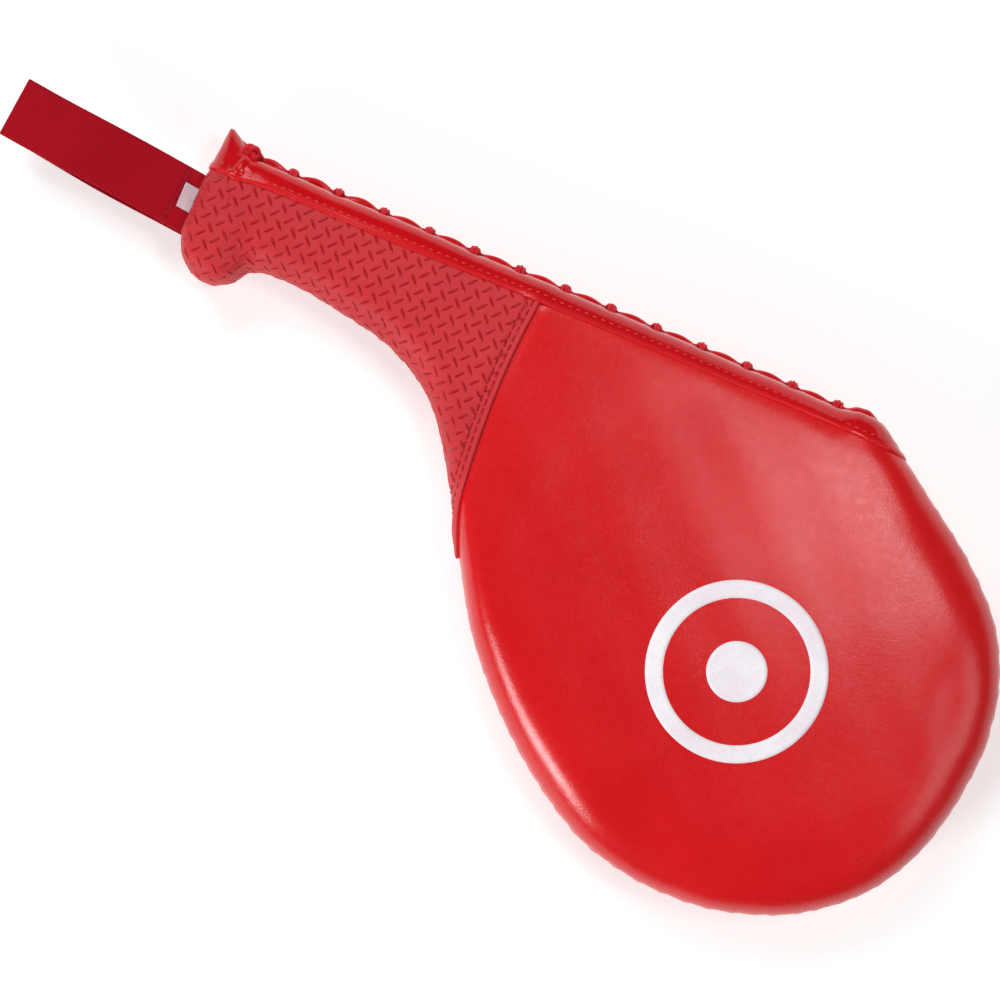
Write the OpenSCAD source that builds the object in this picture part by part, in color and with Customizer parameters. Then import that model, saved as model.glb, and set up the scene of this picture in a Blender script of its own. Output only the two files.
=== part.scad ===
// Martial arts kick paddle: two padded halves on a stiff core, in a cover that
// is laced along one straight edge, with a textured grip and an elastic wrist loop.
// Origin: centre of the blade's back face. X runs from the grip to the blade,
// Y across the blade towards the laced edge, Z up through the thickness.

/* [Padding] */
// Half the thickness of the blade
blade_half = 20; // [18:0.5:22]
// Half the thickness of the grip
grip_half = 16; // [14:0.5:17]
// Thickness of the stiff core plate
core_t = 3; // [2:0.5:4]
// Distance from the outline to the edge of the core plate
core_inset = 7; // [5:0.5:8]

/* [Cover] */
// Thickness of the cover material
cover_t = 1.2; // [1:0.1:1.5]
// How far the folded facing stands proud of the panels beside it
facing_proud = 0.5; // [0.3:0.1:0.8]
// X of the seam where the grip panel meets the blade panel
grip_seam_x = -129; // [-133:1:-126]
// Y of the facing's stitched hem
facing_hem_y = 96; // [94:0.5:97]
// Diameter of the sewing thread
thread_d = 0.7; // [0.5:0.1:0.8]
// Distance from one stitch to the next
stitch_pitch = 4.2; // [4:0.1:5]
// Outer diameter of the printed target ring
print_d = 72; // [60:1:80]

/* [Lacing] */
// Distance from one lacing hole to the next
lace_pitch = 19.7; // [19:0.1:20]
// Number of lacing knots, the large starting knot included
lace_knots = 14; // [10:1:14]
// Diameter of the lacing cord
lace_d = 1.5; // [1.2:0.1:1.6]
// Thickness of the cord's wrap round itself in a knot
knot_wrap = 1.3; // [1.1:0.1:1.4]

/* [Wrist loop] */
// Width of the elastic
strap_w = 25; // [20:1:25]
// Thickness of one ply of the elastic
ply_t = 1.5; // [1.2:0.1:1.6]
// How far the flat loop reaches from the butt
strap_reach = 81; // [70:1:90]
// Angle between the loop and the grip
strap_tilt = 5.7; // [0:0.1:8]
// Angle at which each ply leaves the middle of the loop when it lies at rest
loop_rest = 6; // [5:0.5:8]

/* [Hidden] */
$fn = 32;

leather = [0.80, 0.09, 0.11];
grip_red = [0.74, 0.16, 0.20];
gloss_red = [0.82, 0.08, 0.10];
cord_red = [0.72, 0.06, 0.11];
elastic_red = [0.55, 0.01, 0.07];
foam_grey = [0.30, 0.30, 0.32];
core_black = [0.10, 0.10, 0.11];
print_white = [0.92, 0.90, 0.95];

far = 400;           // longer than the paddle, for cutting boxes
mid = blade_half;    // height of the plane where the two halves meet
gap = 0.1;           // half the gap between the two halves' seam faces
span_steps = 3;      // spline steps between two outline points
roll_rings = [0, 0.08, 0.25, 0.5, 0.75, 1]; // shares of the edge roll that get a ring

// Outline at the seam between the halves. Each row is x, y and the most that the
// edge may roll over inwards there. Both lists run from the butt to the far end.
butt_x = -270.5;
lace_y = 104.5;
lower_edge = [
    [butt_x, 67, 8], [-265.5, 57, 8], [-255.5, 51.5, 9], [-245.5, 55, 9],
    [-238, 63.2, 10], [-222, 64.7, 12], [-200, 61.9, 14], [-175, 56.2, 15],
    [-152, 42, 18], [-131.5, 13.4, 18], [-118.4, -10, 18], [-98, -40.5, 18],
    [-68.5, -70, 18], [-36, -92, 18], [-12, -99.8, 18], [12, -101.8, 18], [35, -99, 18],
    [62, -88.5, 18], [84, -70, 18], [97, -48, 18], [103, -26, 18], [105, -8, 18]
];
upper_edge = [
    [butt_x, lace_y, 11], [-261, lace_y, 9], [-253, lace_y, 10], [-246, lace_y, 11],
    [-238, lace_y, 12], [-222, lace_y, 14], [-200, lace_y, 14], [-175, lace_y, 14],
    [-152, lace_y, 18], [-131.5, lace_y, 18], [-118, lace_y, 18], [-98, lace_y, 18],
    [-68, lace_y, 18], [-30, lace_y, 18], [-2, lace_y, 18], [8, lace_y + 3, 18], [20, 103.4, 18],
    [44, 86.5, 18], [70, 68.5, 18], [90, 49, 18], [101, 27, 18], [105, 6, 18]
];

// Half thickness at x: the grip's, then a ramp at the neck, then the blade's
neck_from = -160;
neck_to = -100;
function ease(t) = let(u = min(max(t, 0), 1)) u * u * (3 - 2 * u);
function half_at(x) =
    grip_half + (blade_half - grip_half) * ease((x - neck_from) / (neck_to - neck_from));

// Catmull-Rom curve through a list of rows, with n steps between two rows
function catmull(a, b, c, d, t) =
    0.5 * (2 * b + (c - a) * t + (2 * a - 5 * b + 4 * c - d) * t * t
        + (3 * b - a - 3 * c + d) * t * t * t);
function spline(p, n) = let(last = len(p) - 1) concat(
    [for (i = [0:last - 1], k = [0:n - 1])
        catmull(p[max(i - 1, 0)], p[i], p[i + 1], p[min(i + 2, last)], k / n)],
    [p[last]]);
function reversed(p) = [for (i = [len(p) - 1:-1:0]) p[i]];
function unit(v) = v / norm(v);

edge = concat(spline(lower_edge, span_steps), reversed(spline(upper_edge, span_steps)));
edge_n = len(edge);
// Each pair of points across the paddle aims at one point of its spine, so that
// no two directions cross inside the padding
spine_from = -256;
spine_to = 45;
aim = [for (i = [0:edge_n - 1])
    let(
        p = edge[i],
        q = edge[edge_n - 1 - i],
        spine = [min(max((p[0] + q[0]) / 2, spine_from), spine_to), (p[1] + q[1]) / 2]
    ) unit([spine[0] - p[0], spine[1] - p[1]])];

// Height of the rolled edge, as a share of the half thickness, at a share t of the roll
function roll_height(t) = pow(1 - pow(1 - min(t, 1), 2.3), 1 / 2.3);

// A ring of points on the paddle's surface, set in by skin and by a share t of the roll
function ring(skin, t) = [for (i = [0:edge_n - 1])
    let(
        p = edge[i],
        in = skin + t * (p[2] - skin),
        top = half_at(p[0]) - skin
    ) [p[0] + aim[i][0] * in, p[1] + aim[i][1] * in, gap + (top - gap) * roll_height(t)]];
function rings(skin) = [for (t = roll_rings) each ring(skin, t)];

// Faces between one ring and the next, and across a ring, wound for an upper surface
function ring_side(a, b) = [for (i = [0:edge_n - 1])
    let(j = (i + 1) % edge_n)
    each [[a + i, b + i, b + j], [a + i, b + j, a + j]]];
function ring_cap(a) = [for (i = [0:edge_n / 2 - 2])
    [a + i, a + edge_n - 1 - i, a + edge_n - 2 - i, a + i + 1]];
function dome_faces(start) = concat(
    [for (k = [0:len(roll_rings) - 2])
        each ring_side(start + k * edge_n, start + (k + 1) * edge_n)],
    ring_cap(start + (len(roll_rings) - 1) * edge_n));
function flipped(faces) = [for (f = faces) reversed(f)];

// The upper half of the paddle, set in by skin, as one solid
module half_solid(skin) {
    polyhedron(rings(skin), concat(dome_faces(0), flipped(ring_cap(0))), convexity = 4);
}

// The upper half of the paddle's skin, from one depth to another
module half_shell(outer, inner) {
    count = edge_n * len(roll_rings);
    polyhedron(
        concat(rings(outer), rings(inner)),
        concat(dome_faces(0), flipped(dome_faces(count)), flipped(ring_side(0, count))),
        convexity = 6);
}

// The two halves stand on the seam plane, and the back one hangs below it
module front() {
    translate([0, 0, mid]) children();
}
module back() {
    translate([0, 0, mid]) mirror([0, 0, 1]) children();
}

// Boxes that cut the halves into panels
module past_x(x) {
    translate([x, -far / 2, -far / 2]) cube([far, far, far]);
}
module before_x(x) {
    translate([x - far, -far / 2, -far / 2]) cube([far, far, far]);
}
module below_y(y) {
    translate([-far, y - far, -far / 2]) cube([2 * far, far, far]);
}
module above_y(y) {
    translate([-far, y, -far / 2]) cube([2 * far, far, far]);
}

// Stiff plate in the middle. It starts past the sewn end of the wrist loop.
core_skip = 5; // pairs of edge points between the butt and the plate
core_edge = [for (i = [core_skip:edge_n - 1 - core_skip])
    [edge[i][0] + aim[i][0] * core_inset, edge[i][1] + aim[i][1] * core_inset]];
core_n = len(core_edge);
module core_plate() {
    color(core_black) translate([0, 0, mid - core_t / 2])
        linear_extrude(core_t) polygon(core_edge);
}

// Foam on both sides of the core, with a pocket that the core lies in
module foam_half() {
    skin = cover_t + 0.02;
    floor_at = edge_n * len(roll_rings);
    roof_at = floor_at + core_n;
    rim = edge_n - 1 - core_skip;
    points = concat(
        rings(skin),
        [for (p = core_edge) [p[0], p[1], gap]],
        [for (p = core_edge) [p[0], p[1], core_t / 2 + 0.02]]);
    polyhedron(points, concat(
        dome_faces(0),
        // the seam face: plain up to the pocket, then round it
        [for (i = [0:core_skip - 1]) [i, i + 1, edge_n - 2 - i, edge_n - 1 - i]],
        [[core_skip, floor_at, floor_at + core_n - 1, rim]],
        [for (i = [0:core_n - 2]) let(a = core_skip + i, b = floor_at + i)
            each [[a, a + 1, b + 1], [a, b + 1, b]]],
        // the pocket's walls and roof
        [for (i = [0:core_n - 1]) let(j = (i + 1) % core_n)
            each [[floor_at + i, floor_at + j, roof_at + j], [floor_at + i, roof_at + j, roof_at + i]]],
        [for (i = [0:core_n / 2 - 2])
            [roof_at + i, roof_at + i + 1, roof_at + core_n - 2 - i, roof_at + core_n - 1 - i]]),
        convexity = 6);
}
module blade_foam() {
    intersection() {
        foam_half();
        past_x(neck_from);
    }
}
module grip_foam() {
    difference() {
        intersection() {
            foam_half();
            before_x(neck_from);
        }
        strap_slot();
    }
}
module blade_foam_front() {
    color(foam_grey) front() blade_foam();
}
module blade_foam_back() {
    color(foam_grey) back() blade_foam();
}
module grip_foam_front() {
    color(foam_grey) front() grip_foam();
}
module grip_foam_back() {
    color(foam_grey) back() grip_foam();
}

// Cover panels: blade, grip, and the facing that carries the lacing holes
module blade_cover() {
    intersection() {
        half_shell(0, cover_t);
        past_x(grip_seam_x);
        below_y(facing_hem_y);
    }
}
module grip_cover() {
    difference() {
        intersection() {
            half_shell(0, cover_t);
            before_x(grip_seam_x);
            below_y(facing_hem_y);
        }
        strap_slot();
    }
}
module lace_facing() {
    difference() {
        intersection() {
            half_shell(-facing_proud, cover_t);
            above_y(facing_hem_y);
        }
        lace_groove();
    }
}
module blade_cover_front() {
    color(leather) front() blade_cover();
}
module blade_cover_back() {
    color(leather) back() blade_cover();
}
module grip_cover_front() {
    color(grip_red) front() grip_cover();
}
module grip_cover_back() {
    color(grip_red) back() grip_cover();
}
module lace_facing_front() {
    color(gloss_red) front() lace_facing();
}
module lace_facing_back() {
    color(gloss_red) back() lace_facing();
}

// Rows of stitches: along the facing's hem, and beside the grip seam
stitch_l = 0.62 * stitch_pitch;
stitch_clear = 0.16;
module stitch(from, to) {
    // one stitch laid along the line between two surface points, clear of the surface
    run = to - from;
    lift = (thread_d / 2 + stitch_clear) * norm(run) / norm([run[0], run[1]]);
    translate(from + [0, 0, lift])
        rotate([0, acos(run[2] / norm(run)), atan2(run[1], run[0])])
            cylinder(d = thread_d, h = stitch_l);
}
stitch_from = butt_x + 8;
stitch_to = 6;
stitch_y = facing_hem_y + 2.2;
facing_rings = [for (t = roll_rings) ring(-facing_proud, t)];
// Where a list of rows, x rising, reaches a given x, as the row between two of them
function at_x(rows, x) = [for (j = [0:len(rows) - 2])
    let(a = rows[j], b = rows[j + 1])
    if (x >= a[0] && x < b[0]) a + (b - a) * (x - a[0]) / (b[0] - a[0])][0];
// Height of the facing at x and y
function facing_z(x, y) =
    let(across = [for (r = facing_rings)
        at_x([for (j = [0:edge_n / 2 - 1]) r[edge_n - 1 - j]], x)])
    [for (k = [0:len(across) - 2])
        let(a = across[k], b = across[k + 1])
        if (y <= a[1] && y > b[1]) a[2] + (b[2] - a[2]) * (a[1] - y) / (a[1] - b[1])][0];
module hem_stitches() {
    for (x = [stitch_from:stitch_pitch:stitch_to])
        stitch([x, stitch_y, facing_z(x, stitch_y)],
            [x + stitch_l, stitch_y, facing_z(x + stitch_l, stitch_y)]);
}
// The pair of edge points beside the grip seam. Each row of stitches runs across the
// surface at a share of the way back to the pair before it.
seam_pair = 9 * span_steps;
seam_rows = [0, 2.4];
cover_rings = [for (t = roll_rings) ring(0, t)];
function row_points(i, before, share) =
    [for (r = cover_rings) r[i] + (r[before] - r[i]) * share];
module seam_stitches() {
    for (back_by = seam_rows) {
        share = back_by / (edge[seam_pair][0] - edge[seam_pair - 1][0]);
        low = row_points(seam_pair, seam_pair - 1, share);
        high = row_points(edge_n - 1 - seam_pair, edge_n - seam_pair, share);
        row = concat([for (k = [2:len(low) - 1]) low[k]],
            [for (k = [len(high) - 1:-1:3]) high[k]]);
        for (k = [0:len(row) - 2]) {
            run = row[k + 1] - row[k];
            count = floor((norm(run) - 0.8) / stitch_pitch) + 1;
            for (i = [0:count - 1])
                stitch(row[k] + (i + 0.19) * run / count, row[k] + (i + 1) * run / count);
        }
    }
}
module facing_stitches_front() {
    color(cord_red) front() hem_stitches();
}
module facing_stitches_back() {
    color(cord_red) back() hem_stitches();
}
module seam_stitches_front() {
    color(cord_red) front() seam_stitches();
}
module seam_stitches_back() {
    color(cord_red) back() seam_stitches();
}

// Cord that closes the laced edge, with a knot at each pair of holes. It lies in
// the groove between the two facings.
lace_last_x = -2.3;
lace_first_x = lace_last_x - (lace_knots - 1) * lace_pitch;
lace_tail = 6;
knot_r = lace_d / 2 + 0.05 + knot_wrap;
start_r = knot_r + 0.15;
lace_line_y = lace_y + 1.05;
groove_clear = 0.15;
module along_lace(x) {
    translate([x, lace_line_y, 0]) rotate([0, 90, 0]) children();
}
module lace_groove() {
    along_lace(butt_x - 5)
        cylinder(r = start_r + groove_clear, h = lace_last_x + lace_tail + 1 - butt_x + 5);
}
module lace_cord() {
    color(cord_red) translate([0, 0, mid]) along_lace(lace_first_x - lace_tail)
        cylinder(d = lace_d, h = lace_last_x - lace_first_x + 2 * lace_tail);
}
// A wrap of the cord round itself, clear of it by a hair
module wrap(thick) {
    rotate_extrude() translate([lace_d / 2 + thick / 2 + 0.05, 0]) circle(d = thick);
}
module lace_knots() {
    color(cord_red) translate([0, 0, mid]) for (i = [1:lace_knots - 1], side = [-1:1])
        along_lace(lace_first_x + i * lace_pitch + side * (knot_wrap + 0.02)) wrap(knot_wrap);
}
module lace_start_knot() {
    thick = knot_wrap + 0.15;
    color(cord_red) translate([0, 0, mid]) for (k = [-2:2])
        along_lace(lace_first_x + k * (thick + 0.02)) wrap(thick);
}

// White print on the striking face
print_ink = 0.15;
print_band = 7;
module printed_target() {
    color(print_white) translate([0, -8, mid + blade_half]) {
        difference() {
            cylinder(d = print_d, h = print_ink, $fn = 96);
            translate([0, 0, -1]) cylinder(d = print_d - 2 * print_band, h = 3, $fn = 96);
        }
        cylinder(d = print_d / 3, h = print_ink, $fn = 64);
    }
}

// Wrist loop. In its own frame it runs towards -X from the butt, and Y is its width.
strap_y = 78.6;
tail_in = 12;       // how far the sewn end reaches into the butt
slot_gap = 0.1;     // gap round the sewn end
tail_out = 0.3;
swing_s = 2.4;      // distance from the butt to the axis that the whole loop swings on
label_l = 5.8;
label_w = 9.4;
label_t = 0.35;
root_end = 10.4;    // distance from the butt to the end of the sewn-together plies
hinge_gap = 0.3;    // gap between two rigid lengths of elastic
ply_gap = 0.15;     // half the gap between the two plies where they lie together
ply_z = ply_t / 2 + ply_gap;    // height of a ply's middle there
lower_shift = -0.8;             // the lower ply lies a little to one side
arm_s = root_end + hinge_gap + ply_t / 2;
tip_s = strap_reach - ply_t / 2;
arm_l = (tip_s - arm_s) / 2 / cos(loop_rest);
module strap_frame() {
    translate([butt_x, strap_y, mid]) rotate([0, 0, 180 - strap_tilt])
        rotate([90, 0, 0]) children();
}
module strap_slot() {
    translate([0, 0, -mid]) strap_frame()
        translate([-tail_in - slot_gap, -ply_t - ply_gap - slot_gap, -strap_w / 2 - slot_gap])
            cube([tail_in + 4, 2 * (ply_t + ply_gap + slot_gap), strap_w + 2 * slot_gap]);
}
// A flat length of elastic, in the strap's side view: from x0 to x1, centred on y = 0
module webbing(x0, x1, thick) {
    translate([0, 0, -strap_w / 2]) linear_extrude(strap_w)
        translate([x0, -thick / 2]) square([x1 - x0, thick]);
}
// The same, with a round end on the hinge axis at the start
module hinged_webbing(length, thick) {
    translate([0, 0, -strap_w / 2]) cylinder(d = thick, h = strap_w);
    webbing(0, length, thick);
}
module strap_anchor() {
    color(elastic_red) strap_frame() for (side = [-1, 1])
        translate([0, side * ply_z, 0]) webbing(-tail_in, tail_out, ply_t);
}
module strap_root() {
    color(elastic_red) strap_frame() translate([swing_s, 0, 0]) {
        translate([0, 0, -strap_w / 2]) cylinder(r = ply_t + ply_gap, h = strap_w);
        for (side = [-1, 1])
            translate([0, side * ply_z, 0]) webbing(0, root_end - swing_s, ply_t);
    }
}
module care_label() {
    color(print_white) strap_frame()
        translate([swing_s + label_l / 2 + 0.3, ply_z + ply_t / 2 + 0.02, 1.2])
            rotate([-90, 0, 0]) linear_extrude(label_t) rotate(-3)
                square([label_l, label_w], center = true);
}
// One ply of the loop: the inner arm rises to the bend and the outer arm falls to the tip
module upper_inner() {
    translate([arm_s, ply_z, 0]) rotate([0, 0, loop_rest])
        hinged_webbing(arm_l - ply_t / 2 - hinge_gap, ply_t);
}
module upper_outer() {
    translate([arm_s + arm_l * cos(loop_rest), ply_z + arm_l * sin(loop_rest), 0])
        rotate([0, 0, -loop_rest]) {
            hinged_webbing(arm_l, ply_t);
            translate([arm_l, 0, -strap_w / 2]) cylinder(d = ply_t, h = strap_w);
        }
}
module lower_ply() {
    translate([0, 0, lower_shift]) mirror([0, 1, 0]) children();
}
module strap_upper_inner() {
    color(elastic_red) strap_frame() upper_inner();
}
module strap_upper_outer() {
    color(elastic_red) strap_frame() upper_outer();
}
module strap_lower_inner() {
    color(elastic_red) strap_frame() lower_ply() upper_inner();
}
module strap_lower_outer() {
    color(elastic_red) strap_frame() lower_ply() upper_outer();
}

core_plate();
blade_foam_front();
blade_foam_back();
grip_foam_front();
grip_foam_back();
blade_cover_front();
blade_cover_back();
grip_cover_front();
grip_cover_back();
lace_facing_front();
lace_facing_back();
facing_stitches_front();
facing_stitches_back();
seam_stitches_front();
seam_stitches_back();
lace_cord();
lace_knots();
lace_start_knot();
printed_target();
strap_anchor();
strap_root();
care_label();
strap_upper_inner();
strap_upper_outer();
strap_lower_inner();
strap_lower_outer();
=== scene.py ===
"""Kick paddle: two padded halves in a laced cover, with a patterned grip and an elastic wrist loop.

Lengths are in millimetres until a mesh is made, and every piece is made in the CAD model's frame:
X runs from the grip to the blade, Y across it towards the laced edge, Z through the thickness.
"""
import math

import bmesh
import bpy
import numpy as np
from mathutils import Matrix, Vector
from mathutils.bvhtree import BVHTree
from mathutils.interpolate import poly_3d_calc


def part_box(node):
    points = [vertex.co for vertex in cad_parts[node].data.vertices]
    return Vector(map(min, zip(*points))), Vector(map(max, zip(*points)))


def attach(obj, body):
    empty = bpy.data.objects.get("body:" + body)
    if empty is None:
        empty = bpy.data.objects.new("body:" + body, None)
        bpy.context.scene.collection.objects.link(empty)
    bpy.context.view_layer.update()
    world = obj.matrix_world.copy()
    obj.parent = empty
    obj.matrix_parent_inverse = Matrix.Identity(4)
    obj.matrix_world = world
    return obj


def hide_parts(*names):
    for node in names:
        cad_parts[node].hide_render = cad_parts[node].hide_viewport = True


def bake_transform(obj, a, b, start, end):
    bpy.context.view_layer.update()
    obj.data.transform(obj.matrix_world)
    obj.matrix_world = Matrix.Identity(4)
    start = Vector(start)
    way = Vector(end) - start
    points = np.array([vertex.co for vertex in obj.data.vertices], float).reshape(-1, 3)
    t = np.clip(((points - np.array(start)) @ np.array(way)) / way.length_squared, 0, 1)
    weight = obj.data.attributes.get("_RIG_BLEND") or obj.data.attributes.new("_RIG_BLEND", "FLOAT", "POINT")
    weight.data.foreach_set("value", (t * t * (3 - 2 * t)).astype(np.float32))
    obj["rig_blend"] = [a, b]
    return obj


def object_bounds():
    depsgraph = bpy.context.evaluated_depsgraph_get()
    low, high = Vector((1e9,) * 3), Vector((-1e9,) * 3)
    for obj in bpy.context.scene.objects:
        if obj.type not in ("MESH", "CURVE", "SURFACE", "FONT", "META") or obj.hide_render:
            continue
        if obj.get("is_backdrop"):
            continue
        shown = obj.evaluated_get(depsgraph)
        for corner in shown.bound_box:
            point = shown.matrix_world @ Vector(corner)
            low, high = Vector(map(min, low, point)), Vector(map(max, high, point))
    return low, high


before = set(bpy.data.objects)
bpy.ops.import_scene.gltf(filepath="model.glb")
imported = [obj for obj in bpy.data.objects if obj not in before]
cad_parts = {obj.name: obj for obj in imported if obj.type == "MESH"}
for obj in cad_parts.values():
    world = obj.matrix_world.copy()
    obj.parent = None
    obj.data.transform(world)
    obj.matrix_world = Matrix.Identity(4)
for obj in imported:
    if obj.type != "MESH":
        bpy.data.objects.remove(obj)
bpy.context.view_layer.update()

MM = 0.001


# ---------------- sizes from the frame

def low(node):
    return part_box(node)[0] / MM


def high(node):
    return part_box(node)[1] / MM


MID = (low("core_plate").z + high("core_plate").z) / 2
BUTT_X = low("grip_cover_front").x
FAR_X = high("blade_cover_front").x
LACE_Y = 104.5
GRIP_HALF = 15.6
BLADE_HALF = 17.8
BLADE_CROWN = 2.6
NECK_FROM, NECK_TO = -160, -100
SPINE_FROM, SPINE_TO = -256, 45
ROLL_POWER = 2.3
BUTT_MIDDLE = 85.75
STRAP_FROM, STRAP_TO = 66.2, 91.2
STRAP_GAP = 1.75
SEAM_GAP = 0.12

# The outline where the two halves meet: x, y and how far the edge rolls over inwards.
# Both lists run from the butt to the far end of the blade.
LOWER_EDGE = [
    (BUTT_X, 67, 8), (-265.5, 57, 8), (-255.5, 51.5, 9), (-245.5, 55, 9),
    (-238, 63.2, 10), (-222, 64.7, 12), (-200, 61.9, 14), (-175, 56.2, 15),
    (-152, 42, 18), (-131.5, 13.4, 18), (-118.4, -10, 18), (-98, -40.5, 18),
    (-68.5, -70, 18), (-36, -92, 18), (-12, -99.8, 18), (12, -101.8, 18), (35, -99, 18),
    (62, -88.5, 18), (84, -70, 18), (97, -48, 18), (103, -26, 18), (105, -8, 18),
]
LACED_EDGE = [
    (BUTT_X, 9), (-261, 8), (-253, 8), (-246, 8.5), (-238, 9), (-222, 9.5), (-200, 9.5), (-175, 10),
    (-152, 10.5), (-131.5, 11), (-118, 11), (-98, 11), (-68, 11), (-30, 11), (-2, 11.5),
]
UPPER_EDGE = [(x, LACE_Y, roll) for x, roll in LACED_EDGE] + [
    (8, LACE_Y + 3, 13), (20, 103.4, 16), (44, 86.5, 18), (70, 68.5, 18), (90, 49, 18),
    (101, 27, 18), (105, 6, 18),
]
BUTT_POINT = (BUTT_X, BUTT_MIDDLE, 8)
FAR_POINT = (FAR_X + 0.4, -1, 18)

# Where the grip panel ends, as y and x, and where the facing's hem runs, as x and y
GRIP_SEAM = [
    (-60, -96), (-12, -117.4), (-4, -121.2), (9, -125.7), (22, -127.8), (45, -129.6),
    (76, -129.7), (97, -128), (108, -127),
]
FACING_HEM = [
    (-274, 91.3), (-262, 92.7), (-251, 94.6), (-238, 95.2), (-190, 95.2), (-150, 95.8),
    (-60, 96.2), (0, 96.4), (20, 96.2), (30, 95.8), (60, 94),
]

LACE_PITCH = 19.7
LACE_KNOTS = 14
LACE_LAST_X = -2.3
LACE_D = 1.5
KNOT_X = [LACE_LAST_X - LACE_PITCH * k for k in range(LACE_KNOTS - 1, -1, -1)]
EAR_X = 8    # where the facing of the back stands out past the end of the lacing


# ---------------- small helpers

def smooth(t):
    t = np.clip(t, 0, 1)
    return t * t * (3 - 2 * t)


def bell(d, width):
    return np.exp(-(np.asarray(d) / width) ** 2)


def through(points, x):
    """A smooth curve through (x, y) points, read at x."""
    xs = np.array([p[0] for p in points], float)
    ys = np.array([p[1] for p in points], float)
    slopes = np.gradient(ys, xs)
    x = np.clip(x, xs[0], xs[-1])
    i = np.clip(np.searchsorted(xs, x) - 1, 0, len(xs) - 2)
    h = xs[i + 1] - xs[i]
    t = (x - xs[i]) / h
    return ((1 + 2 * t) * (1 - t) ** 2 * ys[i] + t * (1 - t) ** 2 * h * slopes[i]
            + t * t * (3 - 2 * t) * ys[i + 1] + t * t * (t - 1) * h * slopes[i + 1])


def past_seam(x, y):
    """How far a point lies past the grip seam, on the blade's side."""
    return x - through(GRIP_SEAM, y)


def past_hem(x, y):
    """How far a point lies past the facing's hem, on the laced side."""
    return y - through(FACING_HEM, x)


def half_thickness(x):
    return GRIP_HALF + (BLADE_HALF - GRIP_HALF) * smooth((x - NECK_FROM) / (NECK_TO - NECK_FROM))


def run_along(points):
    """How far along a line each of its points lies."""
    return np.concatenate([[0], np.cumsum(np.linalg.norm(np.diff(points, axis=0), axis=1))])


def ripple(s, pitch, seed):
    """An uneven wave along s, from -1 to 1, that never repeats over the paddle."""
    drift = 1.3 * np.sin(s / (2.7 * pitch) + seed) + 0.9 * np.sin(s / (6.1 * pitch) + 2.1 * seed)
    return np.sin(2 * math.pi * s / pitch + drift)


# ---------------- the padded body as a grid

def catmull(rows, steps):
    """A Catmull-Rom curve through rows, with steps[k] points from row k to the next."""
    rows = np.array(rows, float)
    last = len(rows) - 1
    out = []
    for k in range(last):
        a, b, c, d = (rows[max(k - 1, 0)], rows[k], rows[k + 1], rows[min(k + 2, last)])
        for t in np.arange(steps[k]) / steps[k]:
            out.append(0.5 * (2 * b + (c - a) * t + (2 * a - 5 * b + 4 * c - d) * t * t
                              + (3 * b - a - 3 * c + d) * t ** 3))
    return np.array(out + [rows[last]])


def straight(a, b, steps):
    t = (np.arange(steps) / steps)[:, None]
    return np.array(a, float) * (1 - t) + np.array(b, float) * t


def outline(spacing):
    """Matching points of the lower and the upper edge, from the butt to the far end."""
    lower = LOWER_EDGE + [FAR_POINT]
    upper = UPPER_EDGE + [FAR_POINT]
    steps = []
    for k in range(len(lower) - 1):
        spans = [math.dist(e[k][:2], e[k + 1][:2]) for e in (lower, upper)]
        steps.append(max(2, math.ceil(max(spans) / spacing)))
    butt = max(4, round(20 / spacing))
    return [np.concatenate([straight(BUTT_POINT, edge[0], butt), catmull(edge, steps)])
            for edge in (lower, upper)]


ROLL_ANGLES = np.radians([0, 1, 2.2, 4, 6.5, 10, 14.5, 20, 26, 33, 41, 50, 60, 70, 80, 90])
ROLL_HEIGHT = np.sin(ROLL_ANGLES) ** (2 / ROLL_POWER)
ROLL_WIDTH = 1 - np.cos(ROLL_ANGLES) ** (2 / ROLL_POWER)
TUCKS = (4.2, 2.6, 1.3)    # how deep the points of the turned-in edge lie
# The distance between rows along the edge, and how many points cross the flat face of a row
FINE_GRID = (1.5, 30)
COARSE_GRID = (4.0, 12)


def lip(x, side):
    """How far the laced lip of a half stands out at x: it bulges between two knots."""
    first = KNOT_X[0]
    wave = np.sin(math.pi * (x - first) / LACE_PITCH) ** 2
    fade = smooth((x - first + 7) / 5) * smooth((LACE_LAST_X + 6 - x) / 8)
    swing = 1.3 - smooth((x + 245) / 90)
    if side > 0:
        return fade * (-0.5 - 1.5 * wave * smooth((-236 - x) / 8))
    return fade * (0.5 + wave * (1.2 + 0.9 * swing))


def gape(x):
    """How far the two lips stand apart at x, on the loose stretch that starts at the butt."""
    return 0.8 * np.sin(math.pi * (x - KNOT_X[0]) / LACE_PITCH) ** 2 * smooth((-214 - x) / 12)


def strap_mouth(y):
    return smooth((y - STRAP_FROM + 3) / 2.5) * smooth((STRAP_TO + 3 - y) / 2.5)


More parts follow.
